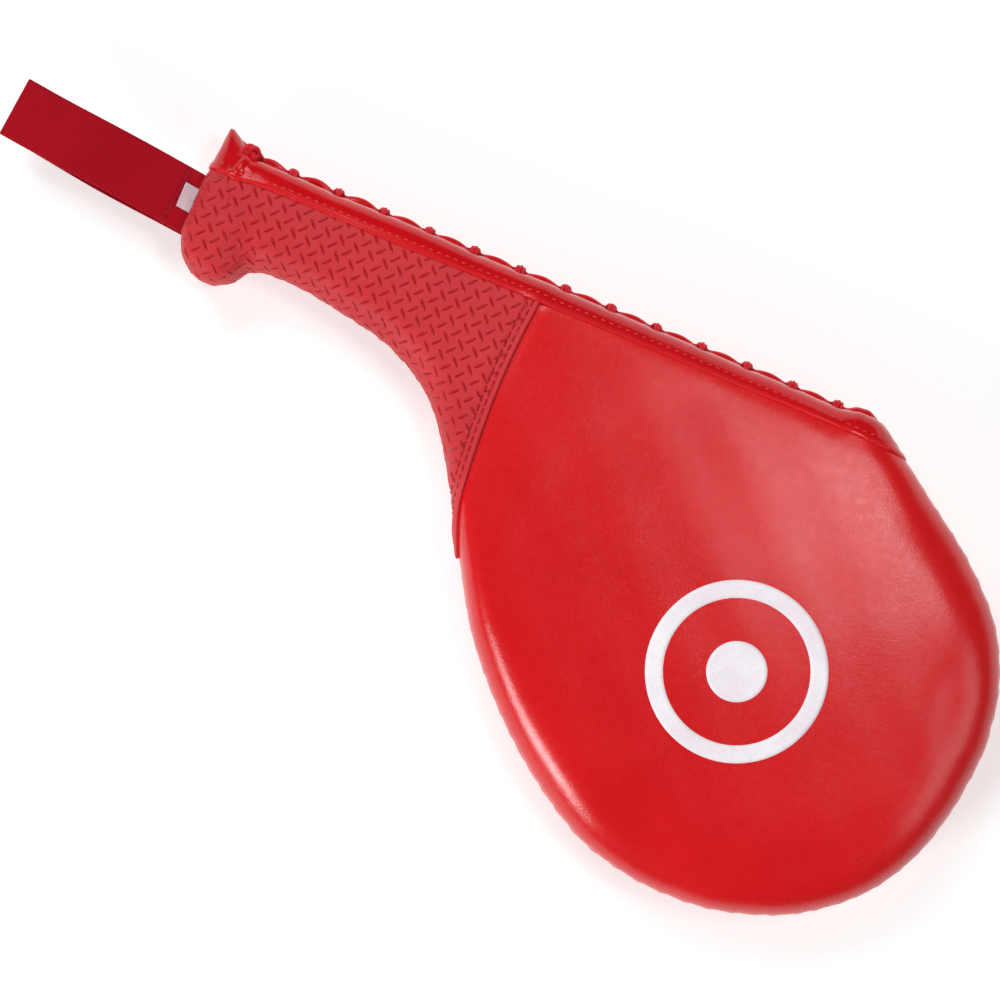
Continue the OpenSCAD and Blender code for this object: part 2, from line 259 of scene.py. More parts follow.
class Grid:
    """One half of the padded body: rows of points from the lower edge over to the upper one.

    xyz holds the points, plan (x and y) where they were before they were shaped, fabric their
    place on the cloth laid flat, rise how far they are up the rolled edge, and seam and hem how far
    they lie past the grip seam and past the facing's hem.
    """

    def __init__(self, side, spacing, flat_count, tucks=TUCKS):
        self.side = side
        lower, upper = outline(spacing)
        spine = (lower[:, :2] + upper[:, :2]) / 2
        spine[spine[:, 0] > SPINE_TO, 1] = FAR_POINT[1]
        spine[:, 0] = np.clip(spine[:, 0], SPINE_FROM, SPINE_TO)
        halves = [self.half(edge, spine, flat_count, tucks, laced)
                  for edge, laced in ((lower, False), (upper, True))]
        joined = [np.concatenate([a, b[:, -2::-1]], axis=1) for a, b in zip(*halves)]
        self.xyz, self.plan, self.rise = joined
        self.x, self.y = self.plan[:, :, 0], self.plan[:, :, 1]
        self.seam, self.hem = past_seam(self.x, self.y), past_hem(self.x, self.y)
        self.spine_column = halves[0][0].shape[1] - 1
        self.spine = spine
        self.lay_flat()

    def half(self, edge, spine, flat_count, tucks, laced):
        rim, roll = edge[:, :2], edge[:, 2:3]
        reach = np.linalg.norm(spine - rim, axis=1, keepdims=True)
        aim = (spine - rim) / reach
        roll = np.minimum(roll, reach * 0.97)
        flat = np.linspace(0, 1, flat_count + 1)[1:]
        inwards = np.concatenate([
            np.repeat([tucks], len(rim), axis=0),
            roll * ROLL_WIDTH,
            roll + (reach - roll) * flat], axis=1)
        share = np.concatenate([
            np.zeros(len(tucks)), ROLL_HEIGHT, np.ones(flat_count)])[None, :]
        rise = share * GRIP_HALF + 0 * inwards
        run = run_along(rim)[:, None]
        plan = rim[:, None, :] + aim[:, None, :] * inwards[:, :, None]
        x = plan[:, :, 0]
        inwards = inwards + self.edge_shape(rim, run, rise, laced)
        xy = rim[:, None, :] + aim[:, None, :] * inwards[:, :, None]
        mouth = strap_mouth(rim[:, 1:2]) * smooth((-268 - rim[:, 0:1]) / 2)
        gap = SEAM_GAP + (STRAP_GAP - SEAM_GAP) * mouth
        if laced:
            apart = gape(x[:, :1]) * smooth((x[:, :1] - KNOT_X[0]) / 3)
            gap = gap + apart + 0.5 * smooth((x[:, :1] + 264) / 4) * smooth((2 - x[:, :1]) / 6)
        height = gap + (half_thickness(x) - gap) * share
        if laced:
            height[:, :len(tucks)] += apart * 0.6 * np.array(tucks)
        z = MID + self.side * height
        return np.dstack([xy, z]), plan, rise

    def edge_shape(self, rim, run, rise, laced):
        """How far the edge is drawn in: groove and puckers at the seam, lips at the lacing."""
        x = rim[:, 0:1]
        seed = 1.7 if self.side > 0 else 4.4
        puckers = 0.26 * ripple(run, 9.5, seed) + 0.14 * ripple(run, 5.3, seed + 2)
        sewn = 0.9 * bell(rise, 1.3) + bell(rise, 4.5) * puckers
        if not laced:
            return sewn
        lace = smooth((x + 268) / 6) * smooth((4 - x) / 6)
        pinch = sum(bell(x - k, 2.6) for k in KNOT_X)
        lips = -lip(x, self.side) * bell(rise, 7) + 0.7 * pinch * bell(rise, 7)
        ear = (3.1 if self.side > 0 else -0.7) * bell(x - EAR_X, 6) * bell(rise, 8)
        return ear + lace * (lips + 0.5 * bell(rise, 0.8)) + (1 - lace) * sewn

    def lay_flat(self):
        """Lays the cloth out flat from the spine, row by row, along its own length."""
        middle = self.spine_column
        steps = np.linalg.norm(np.diff(self.xyz, axis=1), axis=2)
        out = np.zeros(self.xyz.shape[:2])
        out[:, middle + 1:] = np.cumsum(steps[:, middle:], axis=1)
        out[:, :middle] = np.cumsum(steps[:, :middle][:, ::-1], axis=1)[:, ::-1]
        heading = self.plan - self.spine[:, None, :]
        length = np.maximum(np.linalg.norm(heading, axis=2, keepdims=True), 1e-9)
        heading = heading / length
        heading[:, :4] = heading[:, 4:5]
        heading[:, -4:] = heading[:, -5:-4]
        self.fabric = self.spine[:, None, :] + heading * out[:, :, None]

    def quads(self):
        n, m = self.xyz.shape[:2]
        index = np.arange(n * m).reshape(n, m)
        quads = np.stack([index[:-1, :-1], index[1:, :-1], index[1:, 1:], index[:-1, 1:]], axis=-1)
        quads = quads.reshape(-1, 4)
        return quads if self.side > 0 else quads[:, ::-1]

    def normals(self, xyz=None):
        xyz = self.xyz if xyz is None else xyz
        flat = xyz.reshape(-1, 3)
        quads = self.quads()
        a, b, c, d = (flat[quads[:, k]] for k in range(4))
        face = np.cross(c - a, d - b)
        total = np.zeros_like(flat)
        for k in range(4):
            np.add.at(total, quads[:, k], face)
        total /= np.maximum(np.linalg.norm(total, axis=1, keepdims=True), 1e-12)
        return total.reshape(xyz.shape)


# ---------------- swelling the padding

SIM_VOXEL = 3.6
SIM_FRAMES = 20
SWELL_CAP = 1.3


def evaluated_mesh(obj):
    return bpy.data.meshes.new_from_object(obj.evaluated_get(bpy.context.evaluated_depsgraph_get()))


def coordinates(mesh):
    co = np.zeros(len(mesh.vertices) * 3, np.float32)
    mesh.vertices.foreach_get("co", co)
    return co.reshape(-1, 3).astype(float)


def linked(name, data):
    obj = bpy.data.objects.new(name, data)
    bpy.context.scene.collection.objects.link(obj)
    return obj


def weld(mesh, distance):
    """Joins the points of a mesh that lie within this distance, in millimetres."""
    bm = bmesh.new()
    bm.from_mesh(mesh)
    bmesh.ops.remove_doubles(bm, verts=bm.verts, dist=distance * MM)
    bm.to_mesh(mesh)
    bm.free()


def write_values(mesh, key, values):
    layer = mesh.attributes.new(key, "FLOAT", "POINT")
    layer.data.foreach_set("value", values.astype(np.float32))


def painted(name, mesh, paint):
    """A smooth object of one material."""
    mesh.polygons.foreach_set("use_smooth", [True] * len(mesh.polygons))
    mesh.materials.append(paint)
    return linked(name, mesh)


def closed_body(front, back):
    """Both halves welded along the edge and remeshed evenly, as an object for the simulation."""
    verts = np.concatenate([front.xyz.reshape(-1, 3), back.xyz.reshape(-1, 3)])
    shift = front.xyz.shape[0] * front.xyz.shape[1]
    faces = np.concatenate([front.quads(), back.quads() + shift])
    mesh = bpy.data.meshes.new("padding_source")
    mesh.from_pydata(verts * MM, [], faces.tolist())
    weld(mesh, 0.3)
    source = linked("padding_source", mesh)
    remesh = source.modifiers.new("even", "REMESH")
    remesh.mode = "VOXEL"
    remesh.voxel_size = SIM_VOXEL * MM
    even = evaluated_mesh(source)
    bpy.data.objects.remove(source)
    return linked("padding", even)


def simulate(body):
    """Inflates the cover over its foam, held where it is sewn, and returns how each point moved."""
    rest = coordinates(body.data)
    at = rest / MM
    held = np.maximum.reduce([
        bell(at[:, 2] - MID, 3.0),
        0.9 * bell(past_seam(at[:, 0], at[:, 1]) + 2, 3.0),
        0.9 * bell(past_hem(at[:, 0], at[:, 1]) - 2, 3.0)])
    group = body.vertex_groups.new(name="held")
    for i, weight in enumerate(held):
        if weight > 0.05:
            group.add([i], float(weight), "REPLACE")
    cloth = body.modifiers.new("swell", "CLOTH")
    settings = cloth.settings
    settings.quality = 6
    settings.tension_stiffness = settings.compression_stiffness = 30
    settings.bending_stiffness = 3
    settings.use_pressure = True
    settings.uniform_pressure_force = 4
    settings.vertex_group_mass = "held"
    settings.pin_stiffness = 1.0
    settings.effector_weights.gravity = 0
    cloth.point_cache.frame_start = 1
    cloth.point_cache.frame_end = SIM_FRAMES
    for number in range(1, SIM_FRAMES + 1):
        bpy.context.scene.frame_set(number)
    swollen = evaluated_mesh(body)
    moved = coordinates(swollen) - rest
    bpy.data.meshes.remove(swollen)
    bpy.context.scene.frame_set(1)
    moved = evened(moved, body.data)
    length = np.maximum(np.linalg.norm(moved, axis=1, keepdims=True), 1e-9)
    cap = SWELL_CAP * MM
    return rest, moved * (cap * np.tanh(length / cap) / length)


def evened(values, mesh, rounds=16):
    """Values at a mesh's points, averaged with their neighbours a few times over."""
    edges = np.array([e.vertices[:] for e in mesh.edges])
    count = np.bincount(edges.ravel(), minlength=len(values))[:, None] + 1.0
    for _ in range(rounds):
        total = values.copy()
        np.add.at(total, edges[:, 0], values[edges[:, 1]])
        np.add.at(total, edges[:, 1], values[edges[:, 0]])
        values = total / count
    return values


def carried(points, rest, faces, moved):
    """The movement of the simulated cloth, read at other points near it, in millimetres."""
    tree = BVHTree.FromPolygons(rest.tolist(), faces.tolist())
    out = np.zeros_like(points)
    for i, p in enumerate(points * MM):
        place, _, face, _ = tree.find_nearest(p)
        corners = faces[face]
        out[i] = poly_3d_calc([Vector(rest[k]) for k in corners], place) @ moved[corners]
    return out / MM


def swell(halves):
    """Gives both halves the shape of a cover blown up over its foam."""
    body = closed_body(*(Grid(side, *COARSE_GRID, tucks=()) for side in (1, -1)))
    rest, moved = simulate(body)
    body.data.calc_loop_triangles()
    faces = np.array([t.vertices[:] for t in body.data.loop_triangles])
    bpy.data.objects.remove(body)
    for half in halves:
        shape = half.xyz.shape
        shift = carried(half.xyz.reshape(-1, 3), rest, faces, moved).reshape(shape)
        half.xyz += shift * smooth(half.rise / 3)[:, :, None]


def crown(half):
    """The slight dome of the blade's face."""
    dome = np.maximum(0, 1 - (half.x ** 2 + (half.y - 2) ** 2) / 100 ** 2) ** 1.3
    half.xyz[:, :, 2] += half.side * BLADE_CROWN * dome


def corner_flap(half):
    """Draws the facing's corner at the butt out into a flat, pointed ear."""
    x, y = half.x, half.y
    away = np.hypot((x - BUTT_X) * 0.95, (y - LACE_Y) * 0.8)
    pull = np.clip(1.04 - np.hypot(away, 1.0) / 14.5, 0, 1) ** 1.05
    half.xyz[:, :, 0] += 2.2 * pull
    half.xyz[:, :, 1] += 7.9 * pull
    flat = 0.66 * np.clip(1 - away / 13, 0, 1) ** 0.8
    half.xyz[:, :, 2] = MID + (half.xyz[:, :, 2] - MID) * (1 - flat)
    around = np.arctan2(y - LACE_Y + 1, x - KNOT_X[0])
    out = np.hypot(y - LACE_Y + 1, x - KNOT_X[0])
    gathers = np.sin(9 * around + (0.4 if half.side > 0 else 1.9) + 0.25 * out)
    half.xyz[:, :, 2] += half.side * 0.24 * bell(out - 5, 4.5) * gathers * smooth(half.rise / 5)


def wrinkles(half):
    """Small folds that run in from the sewn edge, and soft dents over the face."""
    x, y, s = half.x, half.y, half.side
    normal = half.normals()
    near_edge = smooth(half.rise / 4) * smooth((GRIP_HALF - 0.4 - half.rise) / 4)
    angle = np.arctan2(y, x) * 100
    folds = 0.03 * near_edge * ripple(angle, 13, 3.1 + s)
    face = (0.07 * np.sin(x / 9.3 + 1.7 * s + 1.3 * np.sin(y / 13.1)) * np.sin(y / 11.7 - 0.6 * s)
            + 0.05 * np.sin((x + y) / 5.9 + s))
    grip = smooth((-118 - x) / 12)
    hand = grip * (0.28 * np.sin(x / 10.7 + 0.8 * s + 0.9 * np.sin(y / 9))
                   * np.sin(y / 8.1 + 1.1 * s))
    hollow = -(2.8 if s > 0 else 1.6) * bell(np.hypot((x + 243) * 1.4, y - 68.5), 9)
    face = (face + hand + hollow) * smooth(half.rise / 9)
    half.xyz += normal * (folds + face)[:, :, None]


halves = {side: Grid(side, *FINE_GRID) for side in (1, -1)}
swell(halves.values())
for half in halves.values():
    crown(half)
    wrinkles(half)
    corner_flap(half)


# ---------------- materials

NOISE_MIDDLE = (0.3, 0.7)    # most of a noise texture's values lie between these


def colour(r, g, b):
    """A colour as it is seen on screen, from 0 to 255, as the shader's linear one."""
    return tuple(((c / 255 + 0.055) / 1.055) ** 2.4 if c > 10 else c / 255 / 12.92
                 for c in (r, g, b)) + (1,)


class Paint:
    """A Principled material that is built up from nodes."""

    def __init__(self, name, **sockets):
        self.material = bpy.data.materials.new(name)
        self.material.use_nodes = True
        self.tree = self.material.node_tree
        self.shader = self.tree.nodes["Principled BSDF"]
        self.bumps = None
        for key, value in sockets.items():
            self.shader.inputs[key.replace("_", " ")].default_value = value

    def node(self, kind, **inputs):
        made = self.tree.nodes.new(kind)
        for key, value in inputs.items():
            if key.startswith("set_"):
                setattr(made, key[4:], value)
            else:
                self.feed(made.inputs[key.replace("_", " ")], value)
        return made

    def feed(self, socket, value):
        if isinstance(value, bpy.types.NodeSocket):
            self.tree.links.new(value, socket)
        else:
            socket.default_value = value

    def place(self, source="Object", scale=(1, 1, 1), turn=0.0):
        where = self.node("ShaderNodeTexCoord").outputs[source]
        mapping = self.node("ShaderNodeMapping", Vector=where, Scale=scale)
        mapping.inputs["Rotation"].default_value = (0, 0, turn)
        return mapping.outputs["Vector"]

    def noise(self, where, scale, detail=3.0, roughness=0.5):
        return self.node("ShaderNodeTexNoise", Vector=where, Scale=scale, Detail=detail,
                         Roughness=roughness).outputs["Fac"]

    def cells(self, where, scale, feature="F1", **more):
        return self.node("ShaderNodeTexVoronoi", set_feature=feature, Vector=where, Scale=scale,
                         **more).outputs["Distance"]

    def wave(self, scale, turn=0, stretch=(1, 1, 1), **more):
        """Parallel bands over the piece's own UV, turned by so many degrees."""
        where = self.place("UV", stretch, math.radians(turn))
        return self.node("ShaderNodeTexWave", Vector=where, Scale=scale, **more).outputs["Fac"]

    def warped(self, where, scale, amount):
        """The same place, pushed about by noise, so that cells in it come out uneven."""
        drift = self.node("ShaderNodeTexNoise", Vector=where, Scale=scale, Detail=2.0)
        shift = self.node("ShaderNodeVectorMath", set_operation="MULTIPLY_ADD")
        self.feed(shift.inputs[0], drift.outputs["Color"])
        self.feed(shift.inputs[1], (amount, amount, amount))
        self.feed(shift.inputs[2], where)
        return shift.outputs["Vector"]

    def attribute(self, name):
        return self.node("ShaderNodeAttribute", set_attribute_name=name).outputs["Fac"]

    def span(self, value, from_low, from_high, to_low, to_high):
        return self.node("ShaderNodeMapRange", Value=value, From_Min=from_low, From_Max=from_high,
                         To_Min=to_low, To_Max=to_high).outputs["Result"]

    def math(self, operation, a, b):
        made = self.node("ShaderNodeMath", set_operation=operation)
        self.feed(made.inputs[0], a)
        self.feed(made.inputs[1], b)
        return made.outputs["Value"]

    def blended(self, a, share_a, b, share_b):
        parts = (self.math("MULTIPLY", a, share_a), self.math("MULTIPLY", b, share_b))
        return self.math("ADD", *parts)

    def mix(self, share, a, b):
        made = self.node("ShaderNodeMix", set_data_type="RGBA")
        self.feed(made.inputs[0], share)
        self.feed(made.inputs[6], a)
        self.feed(made.inputs[7], b)
        return made.outputs[2]

    def tones(self, noise, dark, light):
        """From the dark colour to the light one over the middle of a noise."""
        return self.mix(self.span(noise, *NOISE_MIDDLE, 0, 1), colour(*dark), colour(*light))

    def rough(self, noise, least, most):
        self.set(Roughness=self.span(noise, *NOISE_MIDDLE, least, most))

    def bump(self, height, strength, distance):
        """Adds one more layer of relief; distance is in millimetres."""
        made = self.node("ShaderNodeBump", Height=height, Strength=strength, Distance=distance * MM)
        if self.bumps is not None:
            self.tree.links.new(self.bumps, made.inputs["Normal"])
        self.bumps = made.outputs["Normal"]
        self.tree.links.new(self.bumps, self.shader.inputs["Normal"])

    def set(self, **inputs):
        for key, value in inputs.items():
            self.feed(self.shader.inputs[key.replace("_", " ")], value)


def leather_paint():
    p = Paint("leatherette", Specular_IOR_Level=0.5)
    where = p.place()
    uneven = p.warped(where, 420, 0.0016)
    crease = p.cells(uneven, 760, "DISTANCE_TO_EDGE")
    pebble = p.cells(uneven, 1150, "SMOOTH_F1", Smoothness=0.4)
    soft = p.noise(where, 290, 3, 0.5)
    fine = p.noise(where, 3600, 3, 0.6)
    cloud = p.noise(where, 14, 3, 0.55)
    tone = p.tones(cloud, (208, 9, 17), (219, 13, 21))
    # painted shade: the colour darkens in the creases of the grain, where shade falls
    tone = p.mix(p.span(crease, 0.0, 0.14, 0.3, 0), tone, colour(176, 3, 11))
    # painted highlight: a lighter colour on the rolled rim near the seam, for the reflection the rim catches
    tone = p.mix(p.span(p.attribute("edge_highlight"), 0, 1, 0, 0.3), tone, colour(226, 44, 48))
    p.set(Base_Color=tone)
    p.rough(p.blended(cloud, 0.5, soft, 0.5), 0.22, 0.31)
    p.bump(soft, 0.5, 0.065)
    p.bump(p.span(crease, 0.0, 0.2, 0, 1), 0.5, 0.03)
    p.bump(pebble, 0.35, 0.018)
    p.bump(fine, 0.3, 0.012)
    return p.material


def grip_paint():
    p = Paint("grip_rubber", Specular_IOR_Level=0.38, Sheen_Weight=0.03, Sheen_Roughness=0.5)
    where = p.place()
    speck = p.noise(where, 3200, 3, 0.65)
    cloud = p.noise(where, 22, 3, 0.55)
    rib = p.attribute("rib")
    tone = p.tones(cloud, (194, 34, 42), (208, 43, 50))
    tone = p.mix(p.span(speck, 0.38, 0.62, 0.4, 0), tone, colour(176, 20, 30))
    # painted highlight: a lighter colour along the folded seam edge, where it catches the light
    tone = p.mix(p.span(p.attribute("edge_highlight"), 0, 1, 0, 0.35), tone, colour(224, 70, 74))
    tone = p.mix(p.span(rib, 0.02, 0.25, 0, 0.9), tone, colour(172, 3, 15))
    p.set(Base_Color=tone)
    p.set(Roughness=p.span(rib, 0.02, 0.5, 0.6, 0.32))
    p.bump(speck, 0.5, 0.04)
    p.bump(p.cells(where, 1500), 0.3, 0.03)
    return p.material


def vinyl_paint():
    p = Paint("gloss_vinyl", Specular_IOR_Level=0.25, Coat_Weight=0.03, Coat_Roughness=0.08)
    where = p.place()
    cloud = p.noise(where, 18, 3)
    wave = p.noise(where, 120, 2, 0.4)
    dust = p.noise(where, 1900, 2, 0.6)
    tone = p.tones(cloud, (192, 3, 14), (208, 6, 18))
    # painted highlight: a lighter colour along the folded hem and the laced lip, where they catch the light
    tone = p.mix(p.span(p.attribute("edge_highlight"), 0, 1, 0, 0.4), tone, colour(230, 52, 58))
    p.set(Base_Color=tone)
    p.rough(dust, 0.16, 0.24)
    p.bump(wave, 0.2, 0.2)
    p.bump(dust, 0.08, 0.02)
    return p.material


def cord_paint():
    p = Paint("braided_cord", Specular_IOR_Level=0.3, Sheen_Weight=0.08, Sheen_Roughness=0.4)
    left, right = (p.wave(1.0, turn, (2.0, 0.55, 1)) for turn in (38, -38))
    plait = p.math("MAXIMUM", left, right)
    fuzz = p.noise(p.place(), 5200, 2)
    # painted shade: the colour darkens in the grooves between the braid's strands
    tone = p.mix(p.span(plait, 0.2, 0.9, 0, 1), colour(190, 9, 27), colour(228, 32, 48))
    p.set(Base_Color=tone)
    p.rough(fuzz, 0.55, 0.75)
    p.bump(plait, 0.7, 0.13)
    p.bump(fuzz, 0.3, 0.04)
    return p.material


def thread_paint(name, dark, light):
    p = Paint(name, Specular_IOR_Level=0.25, Sheen_Weight=0.05)
    grain = p.noise(p.place(), 4000, 2)
    p.set(Base_Color=p.tones(grain, dark, light))
    p.rough(grain, 0.38, 0.5)
    p.bump(p.wave(2.2, 30), 0.6, 0.06)
    return p.material


def webbing_paint():
    p = Paint("elastic_webbing", Specular_IOR_Level=0.1, Sheen_Weight=0.02, Sheen_Roughness=0.35)
    twill = p.wave(0.30, 58, set_wave_profile="TRI", Distortion=0.25)
    warp = p.wave(0.42, set_bands_direction="Y")
    weave = p.blended(twill, 0.7, warp, 0.3)
    fuzz = p.noise(p.place(), 3600, 3, 0.6)
    cloud = p.noise(p.place(), 30, 2)
    # painted shade: the colour darkens in the grooves of the weave
    tone = p.mix(p.span(weave, 0.15, 0.85, 0, 1), colour(118, 0, 14), colour(184, 2, 28))
    tone = p.mix(p.span(cloud, 0.35, 0.65, 0.0, 0.2), tone, colour(186, 14, 36))
    p.set(Base_Color=tone)
    p.rough(fuzz, 0.6, 0.78)
    p.bump(weave, 0.75, 0.16)
    p.bump(p.wave(0.36), 0.25, 0.06)
    p.bump(fuzz, 0.3, 0.04)
    return p.material


def label_paint():
    p = Paint("satin_label", Specular_IOR_Level=0.45, Sheen_Weight=0.15)
    ribs = p.wave(0.9, set_bands_direction="Y")
    cloud = p.noise(p.place(), 180, 2)
    # painted shade: the whole label is darkened to a greyish pink for the shade it lies in, and darker again
    # in the grooves of its ribs
    tone = p.tones(cloud, (192, 172, 179), (208, 190, 197))
    p.set(Base_Color=p.mix(p.span(ribs, 0, 1, 0.2, 0), tone, colour(180, 158, 168)))
    p.rough(cloud, 0.42, 0.55)
    p.bump(ribs, 0.4, 0.04)
    p.bump(p.wave(0.7), 0.3, 0.03)
    return p.material


def ink_paint():
    p = Paint("white_ink", Specular_IOR_Level=0.4)
    where = p.place()
    crease = p.cells(where, 560, "DISTANCE_TO_EDGE")
    cloud = p.noise(where, 60, 4, 0.6)
    tone = p.tones(cloud, (236, 228, 236), (250, 246, 250))
    p.set(Base_Color=p.mix(p.span(crease, 0.0, 0.05, 0.35, 0), tone, colour(226, 180, 186)))
    p.rough(cloud, 0.42, 0.54)
    p.bump(p.span(crease, 0.0, 0.25, 0, 1), 0.4, 0.04)
    p.bump(p.cells(where, 820, "SMOOTH_F1", Smoothness=0.35), 0.3, 0.04)
    return p.material


def core_paint():
    p = Paint("core_board", Specular_IOR_Level=0.35)
    grain = p.noise(p.place(scale=(1, 6, 6)), 160, 4, 0.6)
    p.set(Base_Color=p.mix(grain, colour(34, 33, 34), colour(58, 55, 54)))
    p.rough(grain, 0.6, 0.75)
    p.bump(grain, 0.3, 0.1)
    return p.material


LEATHER, GRIP, VINYL = leather_paint(), grip_paint(), vinyl_paint()
CORD, WEBBING = cord_paint(), webbing_paint()
THREAD = thread_paint("sewing_thread", (216, 52, 58), (236, 92, 92))
GRIP_THREAD = thread_paint("grip_thread", (146, 4, 16), (182, 22, 34))
DARK_THREAD = thread_paint("dark_thread", (120, 2, 20), (158, 8, 32))
LABEL, INK = label_paint(), ink_paint()
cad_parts["core_plate"].data.materials.clear()
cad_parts["core_plate"].data.materials.append(core_paint())


# ---------------- mesh building

class Builder:
    """Collects points and faces, in millimetres, and makes them into one smooth object."""

    def __init__(self):
        self.points, self.faces, self.uvs, self.values = [], [], [], {}
        self.count = 0

    def grid(self, rows, uvs=None, closed=False, caps=False, **values):
        """Adds rows of points as a sheet, with named values at its points.

        closed joins the two ends of each row, and caps fills the first and the last row.
        """
        rows = np.asarray(rows, float)
        n, m = rows.shape[:2]
        index = np.arange(n * m).reshape(n, m) + self.count
        columns = np.concatenate([index, index[:, :1]], axis=1) if closed else index
        near, far = columns[:-1], columns[1:]
        faces = np.stack([near[:, :-1], near[:, 1:], far[:, 1:], far[:, :-1]], axis=-1)
        self.faces += faces.reshape(-1, 4).tolist()
        if caps:
            self.faces += [index[0][::-1].tolist(), index[-1].tolist()]
        self.points.append(rows.reshape(-1, 3))
        uvs = np.zeros((n * m, 2)) if uvs is None else np.asarray(uvs, float)
        self.uvs.append(uvs.reshape(-1, 2))
        for key, value in values.items():
            self.values.setdefault(key, []).append(value.reshape(-1))
        self.count += n * m

    def build(self, name, paint, merge=None):
        mesh = bpy.data.meshes.new(name)
        mesh.from_pydata((np.concatenate(self.points) * MM).tolist(), [], self.faces)
        uvs = np.concatenate(self.uvs)
        layer = mesh.uv_layers.new(name="UVMap")
        corners = np.zeros(len(mesh.loops), np.int32)
        mesh.loops.foreach_get("vertex_index", corners)
        layer.data.foreach_set("uv", uvs[corners].astype(np.float32).ravel())
        for key, parts in self.values.items():
            write_values(mesh, key, np.concatenate(parts))
        if merge:
            weld(mesh, merge)
        mesh.update()
        return painted(name, mesh, paint)


def unit(v):
    v = np.asarray(v, float)
    return v / np.maximum(np.linalg.norm(v, axis=-1, keepdims=True), 1e-12)


# The rings that round off a cord's end: how far past it and how wide each is, in radii
CORD_END = [(0.35, 0.85), (0.7, 0.45)]


def tube(builder, path, radius, sides=8, start=(0, 0, 1)):
    """A round cord along path, with a round end at each side."""
    path = np.asarray(path, float)
    tangent = unit(np.gradient(path, axis=0))
    up = np.asarray(start, float)
    run = run_along(path)
    angles = np.linspace(0, 2 * math.pi, sides, endpoint=False)
    rows, uvs = [], []
    for k, (p, t) in enumerate(zip(path, tangent)):
        up = unit(up - t * (up @ t))
        side = np.cross(t, up)
        first = CORD_END[::-1] if k == 0 else []
        last = CORD_END if k == len(path) - 1 else []
        for shift, shrink in [(-s, w) for s, w in first] + [(0, 1)] + last:
            centre = p + t * shift * radius
            rows.append([centre + radius * shrink * (math.cos(a) * up + math.sin(a) * side)
                         for a in angles])
            uvs.append([(a / (2 * math.pi), run[k] + shift * radius) for a in angles])
    builder.grid(np.array(rows)[:, ::-1], np.array(uvs)[:, ::-1], closed=True, caps=True)


# ---------------- cover panels

PANEL_LAYERS = ("seam", "hem", "rise")


def panel_mesh(half, xyz):
    """The whole half as a bmesh; its layers hold what the grid knows about each point."""
    bm = bmesh.new()
    layers = [bm.verts.layers.float.new(key) for key in PANEL_LAYERS]
    values = np.stack([getattr(half, key).ravel() for key in PANEL_LAYERS], axis=1)
    verts = []
    for p, row in zip(xyz.reshape(-1, 3) * MM, values):
        v = bm.verts.new(p)
        for layer, value in zip(layers, row):
            v[layer] = value
        verts.append(v)
    for quad in half.quads():
        bm.faces.new([verts[k] for k in quad])
    return bm


def trim(bm, key, level, keep):
    """Cuts the sheet where a layer has this level, keeps what is above (1) or below (-1) it, and
    returns the points on the cut."""
    layer = bm.verts.layers.float[key]
    value = {v: v[layer] - level for v in bm.verts}
    crossed = [e for e in bm.edges if value[e.verts[0]] * value[e.verts[1]] < 0]
    cut = []
    for e in crossed:
        a, b = e.verts
        share = value[a] / (value[a] - value[b])
        _, v = bmesh.utils.edge_split(e, a, share)
        value[v] = 0.0
        cut.append(v)
    bmesh.ops.connect_verts(bm, verts=cut)
    drop = [f for f in bm.faces if keep * sum(value[v] for v in f.verts) < 0]
    bmesh.ops.delete(bm, geom=drop, context="FACES")
    return set(v for v in cut if v.is_valid)


def fold_edge(bm, line, radius, depth):
    """Rounds the sheet over at the cut through these points and takes it down out of sight."""
    bm.normal_update()
    edges = [e for e in bm.edges if e.is_boundary and e.verts[0] in line and e.verts[1] in line]
    outward, normal = {}, {}
    for e in edges:
        face = e.link_faces[0]
        along = (e.verts[1].co - e.verts[0].co).normalized()
        out = along.cross(face.normal)
        if out.dot(e.verts[0].co - face.calc_center_median()) < 0:
            out.negate()
        for v in e.verts:
            outward[v] = outward.get(v, Vector()) + out
            normal[v] = normal.get(v, Vector()) + face.normal
    origin = {v: v.co.copy() for v in outward}
    root = {v: v for v in outward}
    bends = np.radians([25, 50, 75, 95])
    profile = [(math.sin(a) * radius, (1 - math.cos(a)) * radius) for a in bends]
    profile.append((0.75 * radius, radius + depth))
    for out, down in profile:
        made = bmesh.ops.extrude_edge_only(bm, edges=edges)["geom"]
        fresh = [g for g in made if isinstance(g, bmesh.types.BMVert)]
        edges = [g for g in made if isinstance(g, bmesh.types.BMEdge)
                 and g.verts[0] in fresh and g.verts[1] in fresh]
        below = {}
        for v in fresh:
            parent = next(e.other_vert(v) for e in v.link_edges
                          if e.other_vert(v) in root and (e.other_vert(v).co - v.co).length < 1e-9)
            below[v] = root[parent]
        for v, source in below.items():
            v.co = (origin[source] + outward[source].normalized() * out * MM
                    - normal[source].normalized() * down * MM)
        root = below


def finish_panel(bm, name, paint, edge_highlight, side):
    """Writes the sheet as an object. Its painted highlight, a lighter colour on the folds and rims that
    catch the light, is a function of how far a point is past the seam and past the hem, and of its rise."""
    bmesh.ops.remove_doubles(bm, verts=bm.verts, dist=0.004 * MM)
    bmesh.ops.recalc_face_normals(bm, faces=bm.faces)
    bm.normal_update()
    if side * sum(f.normal.z * f.calc_area() for f in bm.faces) < 0:
        bmesh.ops.reverse_faces(bm, faces=bm.faces)
    mesh = bpy.data.meshes.new(name)
    layers = bm.verts.layers.float
    known = [np.array([v[layers[key]] for v in bm.verts]) for key in PANEL_LAYERS]
    for key in PANEL_LAYERS:
        layers.remove(layers[key])
    bm.to_mesh(mesh)
    bm.free()
    write_values(mesh, "edge_highlight", edge_highlight(*known))
    return painted(name, mesh, paint)


def stitch_dents(d, rows):
    return sum(bell(d - row, 0.75) for row in rows)


